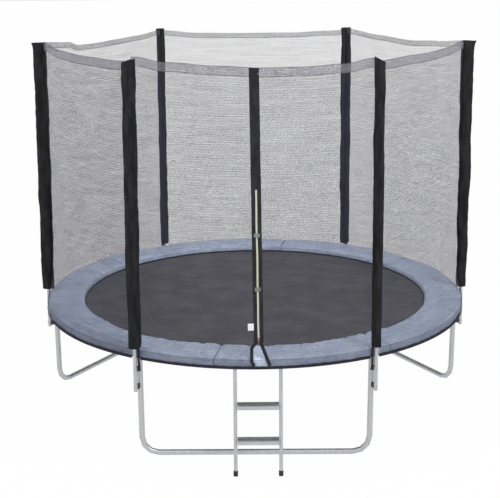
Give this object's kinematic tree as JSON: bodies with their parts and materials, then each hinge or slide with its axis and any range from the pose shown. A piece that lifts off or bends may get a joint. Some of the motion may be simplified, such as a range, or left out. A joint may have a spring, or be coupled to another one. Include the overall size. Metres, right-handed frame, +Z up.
{
  "type": "garden trampoline with safety net",
  "caption": "Round garden trampoline on U-shaped tube legs, with an outer safety net on padded poles, a spring pad, a zipped door with buckles and a hook-on ladder.",
  "frame": {"origin": "centre of the round frame, on the ground", "axes": "+X towards the pole on the right as seen from the door, -Y towards the door and ladder, +Z up"},
  "size_m": [3.1944, 3.1872, 2.5898],
  "materials": {
    "galvanised_tube": "galvanised steel tube, satin with a faint spangle",
    "zinc_hardware": "bright zinc plate",
    "black_plastic": "moulded, fine texture",
    "buckle_plastic": "moulded, grey green",
    "foam": "closed-cell foam, dull",
    "sleeve_fabric": "woven polyester, dark grey, flattened and creased",
    "net_mesh": "fine dark mesh that lets most of the light through",
    "hem_fabric": "folded light grey band, stitched",
    "black_webbing": "woven polypropylene webbing",
    "door_fabric": "grey strip beside the zip",
    "mat_fabric": "woven polypropylene, matt dark grey",
    "pad_cover": "light steel blue PVC-coated cloth, softly wrinkled",
    "zip_tape": "cream coil zip",
    "zip_metal": "brown painted slider",
    "ladder_rubber": "matt black"
  },
  "bodies": {
    "frame": {"buckle_sockets": "buckle_plastic", "door_straps": "black_webbing", "door_strip": "door_fabric", "foam_tubes": "foam", "frame_pad": "pad_cover", "leg_base_1": "galvanised_tube", "leg_base_2": "galvanised_tube", "leg_base_3": "galvanised_tube", "leg_upright_1": "galvanised_tube", "leg_upright_2": "galvanised_tube", "leg_upright_3": "galvanised_tube", "leg_upright_4": "galvanised_tube", "leg_upright_5": "galvanised_tube", "leg_upright_6": "galvanised_tube", "net_bottom_hem": "black_webbing", "net_panels": "net_mesh", "net_straps": "black_webbing", "net_top_hem": "hem_fabric", "pole_bolts": "zinc_hardware", "pole_caps": "black_plastic", "pole_lower_1": "galvanised_tube", "pole_lower_2": "galvanised_tube", "pole_lower_3": "galvanised_tube", "pole_lower_4": "galvanised_tube", "pole_lower_5": "galvanised_tube", "pole_lower_6": "galvanised_tube", "pole_nuts": "zinc_hardware", "pole_sleeves": "sleeve_fabric", "pole_spacers": "black_plastic", "pole_upper_1": "galvanised_tube", "pole_upper_2": "galvanised_tube", "pole_upper_3": "galvanised_tube", "pole_upper_4": "galvanised_tube", "pole_upper_5": "galvanised_tube", "pole_upper_6": "galvanised_tube", "rail_section_1": "galvanised_tube", "rail_section_2": "galvanised_tube", "rail_section_3": "galvanised_tube", "rail_section_4": "galvanised_tube", "rail_section_5": "galvanised_tube", "rail_section_6": "galvanised_tube", "rail_socket_1": "galvanised_tube", "rail_socket_2": "galvanised_tube", "rail_socket_3": "galvanised_tube", "rail_socket_4": "galvanised_tube", "rail_socket_5": "galvanised_tube", "rail_socket_6": "galvanised_tube", "springs": "zinc_hardware", "strap_hooks": "zinc_hardware", "strap_locks": "black_plastic", "zip_chain": "zip_tape"},
    "mat": {"jumping_mat": "mat_fabric", "v_rings": "zinc_hardware"},
    "zip_slider": {"zip_slider": "zip_metal"},
    "zip_pull": {"zip_pull": "zip_metal"},
    "buckle_clip_upper": {"buckle_clip_upper": "buckle_plastic"},
    "buckle_clip_lower": {"buckle_clip_lower": "buckle_plastic"},
    "ladder": {"ladder_rails": "galvanised_tube", "ladder_steps": "galvanised_tube", "ladder_feet": "ladder_rubber"}
  },
  "joints": [
    {"name": "mat_bounce", "type": "slide", "parent": "frame", "child": "mat", "axis": [0, 0, 1], "range_m": [-0.35, 0], "stiffness_N_per_m": 5000, "springref_m": 0.03, "deforming": ["springs"]},
    {"name": "zip_slide", "type": "slide", "parent": "frame", "child": "zip_slider", "axis": [-0.0131, 0.119, 0.9928], "range_m": [0, 0.29]},
    {"name": "zip_pull_turn", "type": "hinge", "parent": "zip_slider", "child": "zip_pull", "pos_m": [0.01954, -1.52973, 0.87931], "axis": [-0.9999, -0.0016, -0.013], "range_deg": [0, 170]},
    {"name": "buckle_upper_release", "type": "slide", "parent": "frame", "child": "buckle_clip_upper", "axis": [0.9999, 0.0016, 0.013], "range_m": [0, 0.025]},
    {"name": "buckle_lower_release", "type": "slide", "parent": "frame", "child": "buckle_clip_lower", "axis": [0.9999, 0.0016, 0.013], "range_m": [0, 0.025]},
    {"name": "ladder_swing", "type": "hinge", "parent": "frame", "child": "ladder", "pos_m": [0.014, -1.4965, 0.712], "axis": [-1, -0.0063, 0], "range_deg": [0, 6]}
  ]
}
